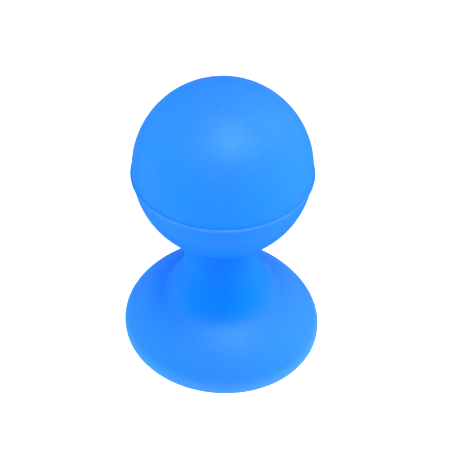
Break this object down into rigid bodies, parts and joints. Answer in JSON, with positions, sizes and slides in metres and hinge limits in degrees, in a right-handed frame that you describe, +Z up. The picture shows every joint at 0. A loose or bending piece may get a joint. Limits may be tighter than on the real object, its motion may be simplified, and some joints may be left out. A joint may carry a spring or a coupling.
{
  "type": "suction cup ball stand",
  "caption": "Soft silicone stand: a hollow ball in two bonded halves on a short bending neck that flares into a bell-shaped suction cup.",
  "frame": {"origin": "centre of the suction cup's face, where it meets the surface it sticks to", "axes": "+Z up the neck to the top of the ball; the part is turned about Z, so X and Y are free"},
  "size_m": [0.04, 0.04, 0.0553],
  "materials": {
    "lower_moulding": "matte blue silicone rubber",
    "dome_moulding": "matte blue silicone rubber"
  },
  "bodies": {
    "cup": {"sealing_lip": "lower_moulding", "cup_skirt": "lower_moulding"},
    "stem": {"cup_hub": "lower_moulding", "neck_lower": "lower_moulding"},
    "waist": {"neck_waist": "lower_moulding"},
    "ball": {"neck_upper": "lower_moulding", "ball_bowl": "lower_moulding", "ball_dome": "dome_moulding"}
  },
  "joints": [
    {"name": "cup_press", "type": "slide", "parent": "cup", "child": "stem", "axis": [0, 0, -1], "range_m": [0, 0.0045], "stiffness_N_per_m": 1500, "deforming": ["cup_skirt"]},
    {"name": "neck_bend_x", "type": "hinge", "parent": "stem", "child": "waist", "pos_m": [0, 0, 0.019], "axis": [1, 0, 0], "range_deg": [-20, 20], "stiffness_Nm_per_rad": 0.4, "deforming": ["neck_lower"]},
    {"name": "neck_bend_y", "type": "hinge", "parent": "waist", "child": "ball", "pos_m": [0, 0, 0.019], "axis": [0, 1, 0], "range_deg": [-20, 20], "stiffness_Nm_per_rad": 0.4, "deforming": ["neck_upper"]}
  ]
}
